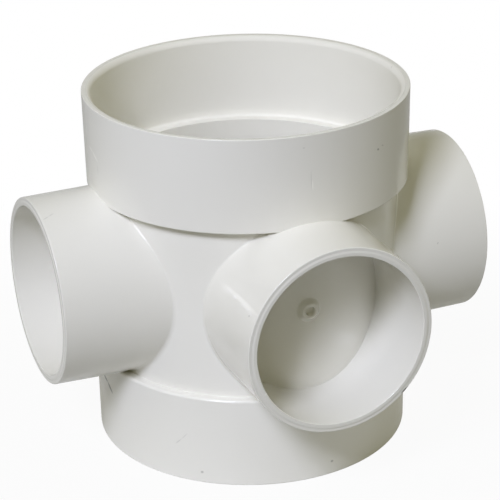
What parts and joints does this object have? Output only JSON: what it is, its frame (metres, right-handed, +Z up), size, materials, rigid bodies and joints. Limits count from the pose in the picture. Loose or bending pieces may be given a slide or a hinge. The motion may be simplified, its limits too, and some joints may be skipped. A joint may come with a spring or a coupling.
{
  "type": "short boss pipe",
  "caption": "Short moulded soil-pipe fitting: a plain barrel between an upper and a lower solvent-weld socket, with blind boss sockets standing out of it at one level for waste pipes.",
  "frame": {"origin": "centre of the lower socket's mouth face, on the pipe's axis", "axes": "+Z up the pipe's axis towards the upper socket, -Y out of the front boss, -X and +X out of the left and right bosses"},
  "size_m": [0.1638, 0.1406, 0.1317],
  "materials": {
    "white_pvc": "satin"
  },
  "bodies": {
    "root": {"boss_pipe": "white_pvc"}
  },
  "joints": []
}
